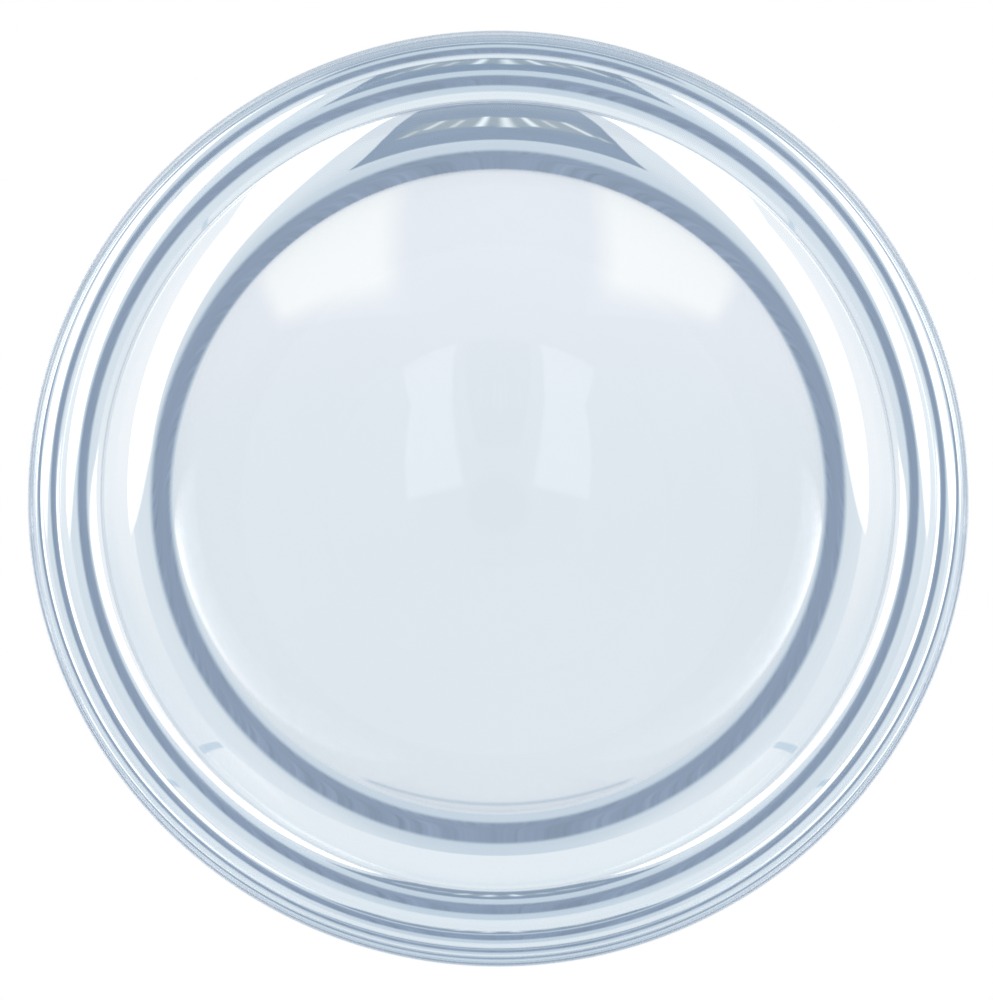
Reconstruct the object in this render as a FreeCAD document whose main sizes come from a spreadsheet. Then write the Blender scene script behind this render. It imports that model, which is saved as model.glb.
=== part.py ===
import FreeCAD, Part
import math
import os
import Sketcher

# Plano-convex magnifier dome of solid clear acrylic, used as a paperweight.
# One piece: a ball segment a little lower than a hemisphere that rounds off through a tighter shoulder
# into an upright rim, closed by one flat polished face.
# It stands on the flat face, through which the page beneath is read from above.
# The origin is the middle of the flat face, and +Z runs up the dome's axis to the crown.

doc = FreeCAD.newDocument("magnifier")

# Driving sizes, in millimetres
sheet = doc.addObject("Spreadsheet::Sheet", "Sizes")
sizes = {
    "OverallDiameter": 80.0,  # across the widest circle, just above the flat face
    "DomeHeight": 35.2,       # from the flat face to the crown
    "ShoulderRadius": 18.0,   # section of the shoulder between the ball side and the upright rim
    "EdgeRadius": 0.4,        # polished round between the flat face and the shoulder
}
for row, (alias, value) in enumerate(sizes.items(), start=1):
    sheet.set(f"A{row}", alias)
    sheet.set(f"B{row}", str(value))
    sheet.setAlias(f"B{row}", alias)
doc.recompute()


def ballRadius(rim, rise, shoulder):
    """Radius of the ball that has its crown at the rise above the shoulder's foot and is tangent to the shoulder."""
    inset = rim - shoulder
    return (rise ** 2 + inset ** 2 - shoulder ** 2) / (2 * (rise - shoulder))


def halfSection(sketch):
    """Half of the dome's section, from the middle of the flat face round to the crown."""
    rim = float(sheet.OverallDiameter) / 2
    height = float(sheet.DomeHeight)
    shoulder = float(sheet.ShoulderRadius)
    edge = float(sheet.EdgeRadius)
    ball = ballRadius(rim, height - edge, shoulder)
    flat = rim - edge

    middle = FreeCAD.Vector(0, 0, 0)
    flatEnd = FreeCAD.Vector(flat, 0, 0)
    crown = FreeCAD.Vector(0, height, 0)
    edgeCentre = FreeCAD.Vector(flat, edge, 0)
    shoulderCentre = FreeCAD.Vector(rim - shoulder, edge, 0)
    ballCentre = FreeCAD.Vector(0, height - ball, 0)
    facing = FreeCAD.Vector(0, 0, 1)
    toShoulder = shoulderCentre - ballCentre
    meeting = math.atan2(toShoulder.y, toShoulder.x)  # the shoulder meets the ball side in this direction
    downwards = -math.pi / 2
    outwards = 0
    upwards = math.pi / 2

    def arc(centreAt, radius, first, last):
        return sketch.addGeometry(Part.ArcOfCircle(Part.Circle(centreAt, facing, radius), first, last))

    axis = sketch.addGeometry(Part.LineSegment(middle, crown))
    face = sketch.addGeometry(Part.LineSegment(middle, flatEnd))
    edgeArc = arc(edgeCentre, edge, downwards, outwards)
    shoulderArc = arc(shoulderCentre, shoulder, outwards, meeting)
    ballArc = arc(ballCentre, ball, meeting, upwards)

    origin = (-1, 1)
    uprightAxis = -2
    start, end, centre = 1, 2, 3
    sketch.addConstraint([
        Sketcher.Constraint("Coincident", axis, start, *origin),
        Sketcher.Constraint("Coincident", face, start, *origin),
        Sketcher.Constraint("PointOnObject", axis, end, uprightAxis),
        Sketcher.Constraint("Horizontal", face),
        Sketcher.Constraint("Tangent", face, end, edgeArc, start),
        Sketcher.Constraint("Tangent", edgeArc, end, shoulderArc, start),
        Sketcher.Constraint("Tangent", shoulderArc, end, ballArc, start),
        Sketcher.Constraint("Horizontal", shoulderArc, start, shoulderArc, centre),
        Sketcher.Constraint("Coincident", ballArc, end, axis, end),
        Sketcher.Constraint("PointOnObject", ballArc, centre, uprightAxis),
    ])
    driven = [
        (Sketcher.Constraint("DistanceY", axis, start, axis, end, height), "Sizes.DomeHeight"),
        (Sketcher.Constraint("Radius", edgeArc, edge), "Sizes.EdgeRadius"),
        (Sketcher.Constraint("Radius", shoulderArc, shoulder), "Sizes.ShoulderRadius"),
        (Sketcher.Constraint("DistanceX", face, start, face, end, flat),
         "Sizes.OverallDiameter / 2 - Sizes.EdgeRadius"),
    ]
    for constraint, expression in driven:
        place = sketch.addConstraint(constraint)
        sketch.setExpression(f"Constraints[{place}]", expression)


def magnifierDome():
    """The whole paperweight: its half section turned once about the upright axis."""
    body = doc.addObject("PartDesign::Body", "MagnifierDome")
    body.Label = "magnifier_dome"
    doc.recompute()
    plane = next(p for p in body.Origin.OriginFeatures if p.Role == "XZ_Plane")
    sketch = body.newObject("Sketcher::SketchObject", "DomeSection")
    sketch.AttachmentSupport = [(plane, "")]
    sketch.MapMode = "FlatFace"
    halfSection(sketch)
    doc.recompute()
    turned = body.newObject("PartDesign::Revolution", "DomeTurned")
    turned.Profile = sketch
    turned.ReferenceAxis = (sketch, ["V_Axis"])
    turned.Angle = 360
    return body


pieces = [magnifierDome()]
doc.recompute()

for thing in doc.Objects:
    bad = {"Invalid", "Error"} & set(thing.State)
    if bad:
        raise RuntimeError(f"{thing.Label} did not build: {sorted(bad)}")
    if thing.isDerivedFrom("Sketcher::SketchObject") and not thing.FullyConstrained:
        raise RuntimeError(f"{thing.Label} has a size that nothing drives")
for piece in pieces:
    if piece.Shape.isNull() or not piece.Shape.isValid() or len(piece.Shape.Solids) != 1:
        raise RuntimeError(f"{piece.Label} is not one sound solid")

os.makedirs("parts", exist_ok=True)
for piece in pieces:
    piece.Shape.exportStep(f"parts/{piece.Label}.step")
    box = piece.Shape.optimalBoundingBox()
    print(f"{piece.Label}: {box.XLength:.3f} x {box.YLength:.3f} x {box.ZLength:.3f} mm, "
          f"{piece.Shape.Volume / 1000:.2f} cm3, {len(piece.Shape.Faces)} faces")
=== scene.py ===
import math
import bpy
import numpy as np
from mathutils import Matrix, Vector


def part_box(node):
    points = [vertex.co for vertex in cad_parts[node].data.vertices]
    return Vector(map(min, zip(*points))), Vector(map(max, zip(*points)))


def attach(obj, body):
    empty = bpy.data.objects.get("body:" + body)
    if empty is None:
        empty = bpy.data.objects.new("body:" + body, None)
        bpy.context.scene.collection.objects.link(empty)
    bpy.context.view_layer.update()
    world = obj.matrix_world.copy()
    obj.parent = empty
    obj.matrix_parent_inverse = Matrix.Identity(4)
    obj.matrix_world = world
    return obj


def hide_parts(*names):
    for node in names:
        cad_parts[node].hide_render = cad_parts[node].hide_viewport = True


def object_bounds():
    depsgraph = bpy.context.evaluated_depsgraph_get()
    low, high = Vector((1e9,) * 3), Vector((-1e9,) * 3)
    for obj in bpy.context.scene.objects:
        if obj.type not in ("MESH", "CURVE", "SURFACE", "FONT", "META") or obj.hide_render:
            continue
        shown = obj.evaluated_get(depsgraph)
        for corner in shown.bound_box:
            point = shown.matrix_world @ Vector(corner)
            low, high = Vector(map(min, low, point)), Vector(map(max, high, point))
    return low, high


# A clear acrylic magnifier dome stands on its flat face. The photograph looks straight into that face,
# so the table has a round window exactly under the dome, and the camera looks up through it. The rings
# in the photograph are the studio under the table, reflected two, three and more times inside the dome.
# All lengths are in metres, z = 0 is the table, and the dome's axis is the z axis.

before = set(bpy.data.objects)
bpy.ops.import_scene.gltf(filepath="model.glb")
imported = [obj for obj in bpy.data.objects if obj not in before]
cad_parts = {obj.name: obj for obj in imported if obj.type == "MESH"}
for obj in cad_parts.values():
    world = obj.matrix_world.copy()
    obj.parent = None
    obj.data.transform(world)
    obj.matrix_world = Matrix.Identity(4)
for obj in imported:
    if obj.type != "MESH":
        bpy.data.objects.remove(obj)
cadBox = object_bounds()
scene = bpy.context.scene
rim = float(cadBox[1].x)       # the dome's radius
print("frame loaded: the dome is", [round(float(s) * 1000, 2) for s in cadBox[1] - cadBox[0]], "mm")


# Node helpers

black, white = (0, 0, 0), (1, 1, 1)
mixSockets = {"float": (2, 3, 0), "colour": (6, 7, 2)}   # first input, second input, output of a Mix node


def newMaterial(name):
    material = bpy.data.materials.new(name)
    material.use_nodes = True
    tree = material.node_tree
    tree.nodes.clear()
    return material, tree, tree.nodes.new("ShaderNodeOutputMaterial")


# A node with the values of its inputs, by name or number, and its settings.
def addNode(tree, kind, inputs=None, **settings):
    node = tree.nodes.new(kind)
    for key, value in settings.items():
        setattr(node, key, value)
    for key, value in (inputs or {}).items():
        node.inputs[key].default_value = value
    return node


def addGroup(tree, group, inputs):
    return addNode(tree, "ShaderNodeGroup", inputs, node_tree=group)


# One flat colour that gives light of its own.
def addGlow(tree, colour):
    return addNode(tree, "ShaderNodeEmission", {"Color": (*colour, 1.0), "Strength": 1.0})


# A node group that puts out one colour, with its inputs named and typed. It comes with its inputs, its
# output and the object's own coordinates, for the nodes in between.
def newGroup(name, inputs):
    group = bpy.data.node_groups.new(name, "ShaderNodeTree")
    for socket, kind in inputs.items():
        group.interface.new_socket(socket, in_out="INPUT", socket_type="NodeSocket" + kind)
    group.interface.new_socket("Colour", in_out="OUTPUT", socket_type="NodeSocketColor")
    start = addNode(group, "NodeGroupInput")
    end = addNode(group, "NodeGroupOutput")
    place = addNode(group, "ShaderNodeTexCoord")
    return group, start.outputs, end.inputs[0], place.outputs["Object"]


noise = {
    "clouds": {"Detail": 5.0, "Roughness": 0.6},
    "streaks": {"Detail": 4.0, "Roughness": 0.65},
    "middle": 0.5,             # the noise swings about this value
}


# A colour times one plus a share of noise: Colour * (1 + Amount * (noise - middle)).
def shadeByNoise(group, cloud, start, end):
    centred = addNode(group, "ShaderNodeMath", {1: noise["middle"]}, operation="SUBTRACT")
    around = addNode(group, "ShaderNodeMath", {2: 1.0}, operation="MULTIPLY_ADD")
    shade = addNode(group, "ShaderNodeVectorMath", operation="SCALE")
    link = group.links.new
    link(start["Scale"], cloud.inputs["Scale"])
    link(cloud.outputs["Fac"], centred.inputs[0])
    link(centred.outputs[0], around.inputs[0])
    link(start["Amount"], around.inputs[1])
    link(start["Colour"], shade.inputs[0])
    link(around.outputs[0], shade.inputs["Scale"])
    link(shade.outputs[0], end)


# Mottle: a colour shaded by cloudy noise, read from the object's own coordinates.
def makeMottle():
    group, start, end, place = newGroup("mottle", {"Colour": "Color", "Amount": "Float", "Scale": "Float"})
    cloud = addNode(group, "ShaderNodeTexNoise", noise["clouds"])
    group.links.new(place, cloud.inputs["Vector"])
    shadeByNoise(group, cloud, start, end)
    return group


# Rays: a colour shaded by noise that depends only on the direction from a middle point of the object,
# which gives streaks that run outwards.
def makeRays():
    group, start, end, place = newGroup("rays", {"Colour": "Color", "Amount": "Float", "Scale": "Float",
                                                 "Middle": "Vector"})
    away = addNode(group, "ShaderNodeVectorMath", operation="SUBTRACT")
    outward = addNode(group, "ShaderNodeVectorMath", operation="NORMALIZE")
    cloud = addNode(group, "ShaderNodeTexNoise", noise["streaks"])
    link = group.links.new
    link(place, away.inputs[0])
    link(start["Middle"], away.inputs[1])
    link(away.outputs[0], outward.inputs[0])
    link(outward.outputs[0], cloud.inputs["Vector"])
    shadeByNoise(group, cloud, start, end)
    return group


# Sweep: from one colour to another by where a point of the object lies along a direction, as a smooth step
# between Start and End. With Spread at one it goes by the distance from the object's middle instead,
# measured in the directions named.
def makeSweep():
    group, start, end, place = newGroup("sweep", {
        "First": "Color", "Second": "Color", "Direction": "Vector",
        "Start": "Float", "End": "Float", "Spread": "Float"})
    along = addNode(group, "ShaderNodeVectorMath", operation="DOT_PRODUCT")
    masked = addNode(group, "ShaderNodeVectorMath", operation="MULTIPLY")
    spread = addNode(group, "ShaderNodeVectorMath", operation="LENGTH")
    pick = addNode(group, "ShaderNodeMix", data_type="FLOAT")
    pickFirst, pickSecond, picked = mixSockets["float"]
    ramp = addNode(group, "ShaderNodeMapRange", interpolation_type="SMOOTHSTEP")   # to a share from 0 to 1
    blend = addNode(group, "ShaderNodeMix", data_type="RGBA")
    blendFirst, blendSecond, blended = mixSockets["colour"]
    link = group.links.new
    link(place, along.inputs[0])
    link(start["Direction"], along.inputs[1])
    link(place, masked.inputs[0])
    link(start["Direction"], masked.inputs[1])
    link(masked.outputs[0], spread.inputs[0])
    link(start["Spread"], pick.inputs[0])
    link(along.outputs["Value"], pick.inputs[pickFirst])
    link(spread.outputs["Value"], pick.inputs[pickSecond])
    link(pick.outputs[picked], ramp.inputs["Value"])
    link(start["Start"], ramp.inputs["From Min"])
    link(start["End"], ramp.inputs["From Max"])
    link(ramp.outputs["Result"], blend.inputs[0])
    link(start["First"], blend.inputs[blendFirst])
    link(start["Second"], blend.inputs[blendSecond])
    link(blend.outputs[blended], end)
    return group


mottle = makeMottle()
rays = makeRays()
sweep = makeSweep()

# Directions in which a sweep goes, each with its Spread
alongX = {"Direction": (1, 0, 0), "Spread": 1.0}        # by the distance from x = 0
alongY = {"Direction": (0, 1, 0), "Spread": 0.0}        # from front to back
outwards = {"Direction": (1, 1, 0), "Spread": 1.0}      # by the distance from the z axis


# A sweep node between two colours, with its direction and where it starts and ends.
def addSweep(tree, first, second, direction, reach):
    return addGroup(tree, sweep, {"First": (*first, 1.0), "Second": (*second, 1.0), **direction,
                                  "Start": reach[0], "End": reach[1]})


# Mesh helpers

# A section turned once: x = r cos(turn), y = r sin(turn), z = height, one ring of points after the other.
def spinSection(section, spokes):
    turn = np.linspace(0, 2 * math.pi, spokes, endpoint=False)
    around = np.stack([np.cos(turn), np.sin(turn)], 1)
    ringed = np.empty((len(section), spokes, 3))
    ringed[:, :, :2] = section[:, None, :1] * around[None]
    ringed[:, :, 2] = section[:, None, 1]
    return ringed.reshape(-1, 3)


# Quads between neighbouring rings. On a section that rises they face outwards, and where it runs inwards
# they face up.
def ringQuads(rings, spokes):
    here = np.arange(spokes)
    following = (here + 1) % spokes
    ringStart = (np.arange(rings - 1) * spokes)[:, None]
    return np.stack([ringStart + here, ringStart + following,
                     ringStart + spokes + following, ringStart + spokes + here], -1).reshape(-1, 4)


# The section of flat rings at z = 0.
def flatSection(radii):
    return np.stack([radii, np.zeros(len(radii))], 1)


# Mesh and object of the same name, at the origin and untransformed.
def makePiece(name, points, faces, material):
    mesh = bpy.data.meshes.new(name)
    mesh.from_pydata(points.tolist(), [], faces)
    mesh.materials.append(material)
    piece = bpy.data.objects.new(name, mesh)
    scene.collection.objects.link(piece)
    return piece


# The dome

dome = {
    "edgeRadius": 0.0004,      # polished round at the rim
    "shoulderRadius": 0.018,   # section of the shoulder above it
    "ballRings": 120,          # rings on the ball side, from the shoulder to the crown
    "shoulderRings": 140,      # rings on the shoulder
    "edgeRings": 12,           # rings on the round
    "faceRings": 8,            # rings on the flat face
    "spokes": 320,             # steps round the axis
    "ior": 1.491,
    "tint": (0.93, 0.968, 0.99),
    "rimTint": (0.865, 0.925, 0.965),   # a little deeper towards the rim
    "rimTintReach": (0.0338, 0.0362),
    "castUnevenness": 0.02,    # share by which the tint wanders
    "castScale": 60.0,
}


# An arc of the section about its centre: centre + radius (cos(turn), sin(turn)), with its outward normals.
# It leaves out its first point, which the stretch before it holds.
def arc(centre, radius, start, end, rings):
    turn = np.linspace(start, end, rings + 1)[1:]
    normal = np.stack([np.cos(turn), np.sin(turn)], 1)
    return np.array(centre) + radius * normal, normal


# Section from the flat face's middle to the crown, with its outward normals: the flat runs out along the
# radius, the round is a quarter circle from straight down to straight out, the shoulder is a larger circle
# that goes on from there, and the ball side is the circle that is tangent to the shoulder and ends upright
# on the axis at the crown: ball = (rise^2 + inset^2 - shoulder^2) / (2 (rise - shoulder)).
def domeProfile():
    low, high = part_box("magnifier_dome")
    radius = float(high.x - low.x) / 2
    height = float(high.z)
    edge = dome["edgeRadius"]
    shoulder = dome["shoulderRadius"]
    inset = radius - shoulder
    rise = height - edge
    ball = (rise ** 2 + inset ** 2 - shoulder ** 2) / (2 * (rise - shoulder))
    meeting = math.atan2(edge - (height - ball), inset)

    face = flatSection((radius - edge) * np.linspace(0, 1, dome["faceRings"] + 1))
    faceNormal = np.tile([0.0, -1.0], (len(face), 1))
    edgeRound, edgeNormal = arc([radius - edge, edge], edge, -math.pi / 2, 0, dome["edgeRings"])
    shoulderSide, shoulderNormal = arc([inset, edge], shoulder, 0, meeting, dome["shoulderRings"])
    ballSide, ballNormal = arc([0, height - ball], ball, meeting, math.pi / 2, dome["ballRings"])
    return (np.concatenate([face, edgeRound, shoulderSide, ballSide]),
            np.concatenate([faceNormal, edgeNormal, shoulderNormal, ballNormal]))


# A section whose two ends lie on the axis, turned once: a fan of triangles closes each pole.
def revolve(profile, normals, spokes):
    rings = len(profile) - 2
    poles = [[0, 0, profile[0, 1]], [0, 0, profile[-1, 1]]]
    points = np.concatenate([spinSection(profile[1:-1], spokes), poles])
    pointNormals = np.concatenate([spinSection(normals[1:-1], spokes), [[0, 0, -1]], [[0, 0, 1]]])

    here = np.arange(spokes)
    following = (here + 1) % spokes
    lowPole = np.full(spokes, rings * spokes)
    topRing = (rings - 1) * spokes
    lowFan = np.stack([following, here, lowPole], 1)
    topFan = np.stack([topRing + here, topRing + following, lowPole + 1], 1)
    faces = ringQuads(rings, spokes).tolist() + lowFan.tolist() + topFan.tolist()
    return points, pointNormals, faces


def makeDome():
    points, normals, faces = revolve(*domeProfile(), dome["spokes"])
    piece = makePiece("paperweight_dome", points, faces, clearAcrylic())
    piece.data.shade_smooth()
    piece.data.normals_split_custom_set_from_vertices(normals.tolist())
    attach(piece, "root")
    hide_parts("magnifier_dome")
    return piece


# Clear and polished, tinted a little more deeply towards the rim, so the outer rings turn bluer.
def clearAcrylic():
    material, tree, output = newMaterial("clearAcrylic")
    depth = addSweep(tree, dome["tint"], dome["rimTint"], outwards, dome["rimTintReach"])
    cast = addGroup(tree, mottle, {"Amount": dome["castUnevenness"], "Scale": dome["castScale"]})
    shader = addNode(tree, "ShaderNodeBsdfPrincipled",
                     {"Transmission Weight": 1.0, "IOR": dome["ior"], "Roughness": 0.0})
    tree.links.new(depth.outputs[0], cast.inputs[0])
    tree.links.new(cast.outputs[0], shader.inputs["Base Color"])
    tree.links.new(shader.outputs[0], output.inputs[0])
    return material


paperweight = makeDome()
print("dome made:", len(paperweight.data.polygons), "faces")


# The table with its window

table = {
    "reach": 6.0,              # radius of the table
    "windowGap": 0.00005,      # the window's edge lies this far inside the dome's widest circle
    "rings": 24,
    "colour": (0.86, 0.865, 0.87),
    "roughness": 0.35,
    "specular": 0.3,
    "paintedFootGlow": (0.72, 0.75, 0.78),   # painted light: a glow that keeps the narrow gap under the dome's edge round from going dark
    "paintedFootReach": (0.0402, 0.0415),    # from full to none, as distances from the axis
    "horizonReach": (0.8, 5.5),       # the table fades into the white ground between these distances
}


# Flat ring at z = 0: the radius grows by a constant factor from ring to ring. The quads are turned over,
# because rings that grow would face down.
def makeTable():
    radii = np.geomspace(rim - table["windowGap"], table["reach"], table["rings"] + 1)
    points = spinSection(flatSection(radii), dome["spokes"])
    turnedOver = [0, 3, 2, 1]
    quads = ringQuads(len(radii), dome["spokes"])[:, turnedOver]
    top = makePiece("tableTop", points, quads.tolist(), tableMaterial())


# Pale satin on the upper side, fading to white far off. The underside is the photograph's plain white
# ground.
def tableMaterial():
    material, tree, output = newMaterial("tableTop")
    satin = addNode(tree, "ShaderNodeBsdfPrincipled", {
        "Base Color": (*table["colour"], 1.0), "Roughness": table["roughness"],
        "Specular IOR Level": table["specular"]})
    ground = addGlow(tree, white)
    paintedFoot = addGlow(tree, table["paintedFootGlow"])
    near = addSweep(tree, white, black, outwards, table["paintedFootReach"])
    far = addSweep(tree, black, white, outwards, table["horizonReach"])
    side = addNode(tree, "ShaderNodeNewGeometry")
    link = tree.links.new

    def mixed(share, first, second):
        mix = addNode(tree, "ShaderNodeMixShader")
        for socket, source in zip(mix.inputs, (share, first, second)):
            link(source, socket)
        return mix.outputs[0]

    # Painted light: near the window the satin gives way to a flat glow, which fills the contact shadow
    # under the dome's edge round.
    upper = mixed(near.outputs[0], satin.outputs[0], paintedFoot.outputs[0])
    whole = mixed(far.outputs[0], upper, ground.outputs[0])
    link(mixed(side.outputs["Backfacing"], whole, ground.outputs[0]), output.inputs[0])
    material.cycles.emission_sampling = "NONE"
    return material


makeTable()
print("table made")


# Panels of the studio

panelSteps = 40                # steps of a panel's grid each way
discRings = 24
discSpokes = 96
plainSweep = (alongY, (0.0, 1.0))   # for a panel of one colour, where it changes nothing


# A glowing panel. Its colour sweeps from one to another, is streaked and mottled a little, and fades into
# its surroundings at the rim by the mesh's own "fade" attribute. It shows in the dome and lights the table,
# but a camera that looks at it directly looks through.
def panelMaterial(name, colour, other=None, border=None, sweepTo=plainSweep,
                  mottled=0.0, scale=12.0, streaked=0.0, streaks=5.0, middle=(0, 0, 0)):
    material, tree, output = newMaterial(name)
    ground = addSweep(tree, colour, other or colour, *sweepTo)
    streak = addGroup(tree, rays, {"Amount": streaked, "Scale": streaks, "Middle": middle})
    tone = addGroup(tree, mottle, {"Amount": mottled, "Scale": scale})
    fade = addNode(tree, "ShaderNodeAttribute", attribute_name="fade")
    first, second, blended = mixSockets["colour"]
    blend = addNode(tree, "ShaderNodeMix", data_type="RGBA")
    blend.inputs[first].default_value = (*(border or colour), 1.0)
    glow = addNode(tree, "ShaderNodeEmission", {"Strength": 1.0})
    unseen = addNode(tree, "ShaderNodeBsdfTransparent")
    path = addNode(tree, "ShaderNodeLightPath")
    choose = addNode(tree, "ShaderNodeMixShader")
    link = tree.links.new
    link(ground.outputs[0], streak.inputs[0])
    link(streak.outputs[0], tone.inputs[0])
    link(fade.outputs["Fac"], blend.inputs[0])
    link(tone.outputs[0], blend.inputs[second])
    link(blend.outputs[blended], glow.inputs["Color"])
    link(path.outputs["Is Camera Ray"], choose.inputs[0])
    link(glow.outputs[0], choose.inputs[1])
    link(unseen.outputs[0], choose.inputs[2])
    link(choose.outputs[0], output.inputs[0])
    material.cycles.emission_sampling = "NONE"
    return material


# Smooth step of a distance to the edge: 3 s^2 - 2 s^3, where s is the distance's share of the feather.
def smoothEdge(distance, feather):
    share = np.clip(distance / feather, 0, 1)
    return share * share * (3 - 2 * share)


# Four-cornered panel: corners mixed linearly in both directions on a grid. Its fade is the product of the
# smooth steps from its four sides, which rounds the corners off. The sides named in "joined" don't fade.
def makePanel(name, corners, material, feather=0.0, joined=(), steps=panelSteps):
    first, second, third, fourth = np.array(corners, dtype=float)
    across, along = np.meshgrid(np.linspace(0, 1, steps + 1), np.linspace(0, 1, steps + 1))
    u, v = across.ravel()[:, None], along.ravel()[:, None]
    points = (first * (1 - u) + second * u) * (1 - v) + (fourth * (1 - u) + third * u) * v
    width = (np.linalg.norm(second - first) + np.linalg.norm(third - fourth)) / 2
    length = (np.linalg.norm(fourth - first) + np.linalg.norm(third - second)) / 2
    share = np.ones(len(points))
    if feather:
        edges = {"left": u * width, "right": (1 - u) * width,
                 "near": v * length, "far": (1 - v) * length}
        for side, distance in edges.items():
            if side not in joined:
                share = share * smoothEdge(distance[:, 0], feather)
    row = np.arange(steps)[:, None] * (steps + 1)
    corner = row + np.arange(steps)
    quads = np.stack([corner, corner + 1, corner + steps + 2, corner + steps + 1], -1).reshape(-1, 4)
    stagePanel(name, points, quads, share, material)


# Round panel about its own middle: rings of equal steps, with the fade rising from the rim inwards.
def makeDisc(name, centre, radius, material, feather):
    reach = radius * np.arange(discRings, -1, -1) / discRings
    points = spinSection(flatSection(reach), discSpokes)
    share = np.repeat(smoothEdge(radius - reach, feather), discSpokes)
    stagePanel(name, points, ringQuads(len(reach), discSpokes), share, material).location = centre


# Makes a panel and keeps its fade, from none at the rim to one inside, for its material.
def stagePanel(name, points, quads, share, material):
    panel = makePiece(name, points, quads.tolist(), material)
    fade = panel.data.attributes.new("fade", "FLOAT", "POINT")
    fade.data.foreach_set("value", share.astype(np.float32))
    return panel


# Studio under the table. Its flat pieces lie on level planes, each a little way behind the light strips.

studio = {
    "depth": 0.80,             # plane of the light strips
    "halfWidth": 0.47,         # of the ceiling
    "front": -0.90,            # the ceiling ends here and the front wall begins
    "back": 0.34,              # the ceiling ends here and the back wall begins
    "farSide": 7.0,            # half width, front end and back end of the whole
    "farFront": -6.5,
    "farBack": 6.0,
}


def atHeight(points, height):
    return [(x, y, height) for x, y in points]


def behindStrips(points, distance):
    return atHeight(points, -studio["depth"] - distance)


# The same corners on the right (side = 1) or mirrored to the left (side = -1).
def onSide(points, side):
    return [(side * x, y) for x, y in points]


# Walls, which the wide pale zones between the rings show

walls = {
    "behind": 0.02,            # distance behind the strips
    "mottle": 0.03,
    "ceiling": (0.77, 0.82, 0.865),
    "ceilingMiddle": (0.63, 0.71, 0.785),   # duller along the middle
    "ceilingSweep": (alongX, (0.03, 0.22)),
    "ceilingMottle": 0.05,
    "back": (0.865, 0.90, 0.93),
    "side": (0.83, 0.865, 0.90),
    "sidePaintedLight": (0.96, 0.97, 0.985),       # painted light: brighter beside the light strips
    "sideSweep": (alongY, (0.30, -0.25)),
    "front": (0.74, 0.78, 0.834),
    "frontFarHalfWidth": 1.45,
    "paintedCornerShadeColour": (0.60, 0.70, 0.79),       # painted shade: the corner between back and side walls darker
    "seam": ((0.470, 0.351), (0.486, 0.339), (1.545, 1.14), (1.495, 1.19)),
    "paintedCornerShadeFeather": 0.012,
    "paintedCornerShadeBehind": 0.015,
}


def makeWalls():
    wide, front, back = studio["halfWidth"], studio["front"], studio["back"]
    farSide, farFront, farBack = studio["farSide"], studio["farFront"], studio["farBack"]
    farWide = walls["frontFarHalfWidth"]
    behind = walls["behind"]

    ceiling = panelMaterial("ceiling", walls["ceilingMiddle"], walls["ceiling"],
                            mottled=walls["ceilingMottle"], sweepTo=walls["ceilingSweep"])
    corners = ((-wide, front), (wide, front), (wide, back), (-wide, back))
    makePanel("ceiling", behindStrips(corners, behind), ceiling)

    backWall = panelMaterial("backWall", walls["back"], mottled=walls["mottle"])
    corners = ((-wide, back), (wide, back), (farSide, farBack), (-farSide, farBack))
    makePanel("backWall", behindStrips(corners, behind), backWall)

    frontWall = panelMaterial("frontWall", walls["front"])
    corners = ((-farWide, farFront), (farWide, farFront), (wide, front), (-wide, front))
    makePanel("frontWall", behindStrips(corners, behind), frontWall)

    # Painted light: the side walls are swept brighter towards the front, beside the light strips, and the
    # strips fade into that colour.
    sideWall = panelMaterial("sideWall", walls["side"], walls["sidePaintedLight"],
                             mottled=walls["mottle"], sweepTo=walls["sideSweep"])
    # Painted shade: a darker panel over each corner between the back and side walls.
    seam = panelMaterial("seam", walls["paintedCornerShadeColour"], border=walls["back"])
    beside = ((wide, front), (farSide, front), (farSide, farBack), (wide, back))
    besideFront = ((farWide, farFront), (farSide, farFront), (farSide, front), (wide, front))
    for side in (1, -1):
        makePanel(f"sideWall{side}", behindStrips(onSide(beside, side), behind), sideWall)
        makePanel(f"sideWallFront{side}", behindStrips(onSide(besideFront, side), behind), sideWall)
        corners = behindStrips(onSide(walls["seam"], side), walls["paintedCornerShadeBehind"])
        makePanel(f"seam{side}", corners, seam, walls["paintedCornerShadeFeather"])


makeWalls()


# Two long light strips, which spread and widen towards the front

strips = {
    "glow": (2.2, 2.2, 2.2),
    "nearPart": ((0.165, -0.105), (0.560, -0.022), (0.742, -0.86), (0.337, -0.86)),
    "farPart": ((0.337, -0.86), (0.742, -0.86), (4.10, -6.0), (1.45, -6.0)),
    "joined": {"nearPart": ("far",), "farPart": ("near", "far")},   # sides that don't fade
    "feather": 0.035,
}


def makeStrips():
    strip = panelMaterial("stripGlow", strips["glow"], border=walls["sidePaintedLight"])
    for side in (1, -1):
        for part, joined in strips["joined"].items():
            corners = behindStrips(onSide(strips[part], side), 0)
            makePanel(f"{part}{side}", corners, strip, strips["feather"], joined)


makeStrips()


# Dull gate at the front, with bright slats before it and painted light round them: the gate paler grey
# about the slats

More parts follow.
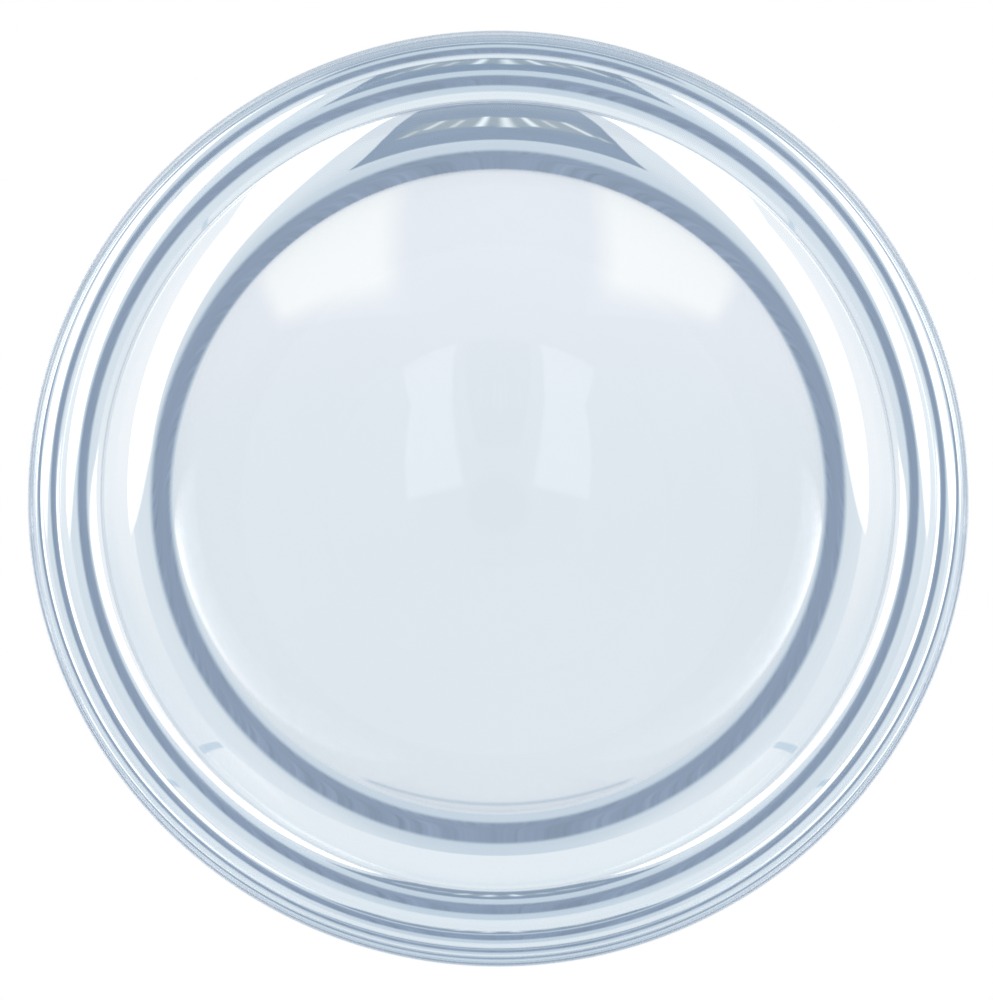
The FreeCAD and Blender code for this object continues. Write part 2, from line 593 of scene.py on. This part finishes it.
gate = {
    "behind": 0.01,            # distance behind the strips
    "colour": (0.27, 0.345, 0.455),
    "mottle": 0.25,
    "mottleScale": 6.0,
    # Half width and place of each station from the near end to the far end
    "stations": ((0.115, -0.335), (0.155, -0.50), (0.20, -0.70),
                 (0.285, -1.14), (0.42, -1.95), (1.05, -5.6)),
    "stationSteps": 2,         # a coarse grid, because nothing fades
    # Middle, half width, near end, far end and brightness of each slat
    "slats": ((-0.140, 0.012, -0.61, -0.74, 0.62),
              (-0.122, 0.014, -0.70, -0.95, 0.80),
              (-0.072, 0.010, -0.66, -0.88, 0.72),
              (-0.027, 0.013, -0.62, -0.98, 1.00),
              (0.014, 0.017, -0.59, -0.93, 0.90),
              (0.057, 0.012, -0.65, -0.96, 0.98),
              (0.095, 0.010, -0.69, -0.91, 0.68),
              (0.146, 0.013, -0.64, -0.95, 0.92),
              (0.160, 0.010, -0.60, -0.68, 0.60)),
    "slatColour": (0.93, 1.0, 1.03),
    "slatsBehind": 0.004,
    "paintedSlatLight": ((-0.165, -0.60), (0.165, -0.60), (0.215, -0.99), (-0.215, -0.99)),
    "paintedSlatLightColour": (0.36, 0.425, 0.480),
    "paintedSlatLightFeather": 0.06,
    "paintedSlatLightBehind": 0.007,
}


# The gate is a quad between each pair of neighbouring stations. A slat fades over its own half width.
def makeGate():
    dull = panelMaterial("gate", gate["colour"], mottled=gate["mottle"], scale=gate["mottleScale"])
    for index, (near, far) in enumerate(zip(gate["stations"], gate["stations"][1:])):
        corners = ((-near[0], near[1]), near, far, (-far[0], far[1]))
        makePanel(f"gate{index}", behindStrips(corners, gate["behind"]), dull, steps=gate["stationSteps"])
    for index, (middle, width, near, far, brightness) in enumerate(gate["slats"]):
        colour = tuple(brightness * channel for channel in gate["slatColour"])
        slat = panelMaterial(f"slat{index}", colour, border=gate["paintedSlatLightColour"])
        left, right = middle - width, middle + width
        corners = ((left, near), (right, near), (right, far), (left, far))
        makePanel(f"slat{index}", behindStrips(corners, gate["slatsBehind"]), slat, width)
    # Painted light: a paler grey patch of the gate round the bright slats, into which the slats fade.
    paintedSlatLight = panelMaterial("paintedSlatLight", gate["paintedSlatLightColour"], border=gate["colour"])
    makePanel("paintedSlatLight", behindStrips(gate["paintedSlatLight"], gate["paintedSlatLightBehind"]), paintedSlatLight, gate["paintedSlatLightFeather"])


makeGate()


# Dull round hood behind the camera: the dark rings are its reflections

hood = {
    "centre": (0.0, -0.012, -0.765),
    "radius": 0.170,
    "feather": 0.055,
    "colour": (0.285, 0.35, 0.458),
    "border": (0.62, 0.70, 0.775),
    "streaked": 0.85,
    "streaks": 38.0,
    "streakMiddle": (0.0, -0.073, 0.0),   # seen in the ring's middle line, so the streaks cross the ring
}


def makeHood():
    dull = panelMaterial("hood", hood["colour"], border=hood["border"], streaked=hood["streaked"],
                         streaks=hood["streaks"], middle=hood["streakMiddle"])
    makeDisc("hood", hood["centre"], hood["radius"], dull, hood["feather"])


makeHood()
print("studio under the table made")


# Studio above the table: a pale canopy with two soft lamps and a bar, seen through the dome's middle

above = {
    "height": 0.80,
    "canopyLift": 0.02,                # the canopy hangs this far above the lamps
    "canopyRadius": 3.2,
    "canopyFeather": 1.9,              # fades into the white ground
    "canopy": (0.81, 0.845, 0.885),
    "canopyFront": (0.875, 0.885, 0.93),
    "canopySweep": (alongY, (0.10, -0.25)),
    "canopyMottle": 0.05,
    "canopyMottleScale": 3.0,
    "softPatch": ((0.068, -0.080), (0.222, -0.105), (0.60, -0.45), (0.155, -0.62)),
    "softGlow": (1.03, 1.02, 1.01),
    "softFeather": 0.06,
    "bar": ((-0.24, 0.535), (0.24, 0.535), (0.26, 0.60), (-0.26, 0.60)),   # dull, behind the dome
    "barColour": (0.56, 0.65, 0.735),
    "barFeather": 0.03,
}


def makeAbove():
    height = above["height"]
    canopy = panelMaterial("canopy", above["canopy"], above["canopyFront"], white,
                           above["canopySweep"], above["canopyMottle"], above["canopyMottleScale"])
    centre = (0, 0, height + above["canopyLift"])
    makeDisc("canopy", centre, above["canopyRadius"], canopy, above["canopyFeather"])
    glow = panelMaterial("softGlow", above["softGlow"], border=above["canopyFront"])
    for side in (1, -1):
        corners = atHeight(onSide(above["softPatch"], side), height)
        makePanel(f"soft{side}", corners, glow, above["softFeather"], ("far",))
    bar = panelMaterial("bar", above["barColour"], border=above["canopy"])
    makePanel("bar", atHeight(above["bar"], height), bar, above["barFeather"])


# Plain white all round.
def makeWorld():
    world = bpy.data.worlds.new("studio")
    world.use_nodes = True
    tree = world.node_tree
    tree.nodes.clear()
    ground = addNode(tree, "ShaderNodeBackground", {"Color": (*white, 1.0), "Strength": 1.0})
    output = addNode(tree, "ShaderNodeOutputWorld")
    tree.links.new(ground.outputs[0], output.inputs[0])
    scene.world = world


makeAbove()
makeWorld()
print("studio above the table made")


# Camera and render limits

view = {
    "distance": 0.70,           # from the flat face
    "aside": (0.0, -0.0736),    # how far the camera stands off the axis
    "frame": (993, 1000),
    "centre": (498.2, 495.8),   # the dome's middle in the frame, from its top left corner
    "rimPixels": 471.1,         # the dome's radius in the frame
    "sensorWidth": 36,          # mm
    "clip": (0.01, 50),
}


# Looks up at the middle of the flat face, with +Y to the top. The lens follows from the rim's size in the
# frame: lens = sensor width * rim's share of the frame * distance / rim. The shifts set the dome's middle.
def makeCamera():
    data = bpy.data.cameras.new("camera")
    camera = bpy.data.objects.new("camera", data)
    scene.collection.objects.link(camera)
    eye = Vector((*view["aside"], -view["distance"]))
    forward = -eye.normalized()
    right = forward.cross(Vector((0, 1, 0))).normalized()
    up = right.cross(forward)
    turned = Matrix((right, up, -forward)).transposed().to_4x4()
    camera.matrix_world = Matrix.Translation(eye) @ turned
    width, height = view["frame"]
    longSide = max(view["frame"])
    data.sensor_width = view["sensorWidth"]
    data.lens = data.sensor_width * view["rimPixels"] / longSide * eye.length / rim
    data.shift_x = (width / 2 - view["centre"][0]) / longSide
    data.shift_y = (view["centre"][1] - height / 2) / longSide
    data.clip_start, data.clip_end = view["clip"]
    scene.camera = camera


makeCamera()

limits = {
    "bounces": 40,              # the outermost rings are reflected many times inside the dome
    "glassBounces": 32,
    "filterWidth": 2.0,         # in pixels, because the photograph is a little soft
}

scene.view_settings.view_transform = "Standard"
scene.cycles.max_bounces = limits["bounces"]
scene.cycles.glossy_bounces = limits["glassBounces"]
scene.cycles.transmission_bounces = limits["glassBounces"]
scene.cycles.filter_width = limits["filterWidth"]
print("camera set")
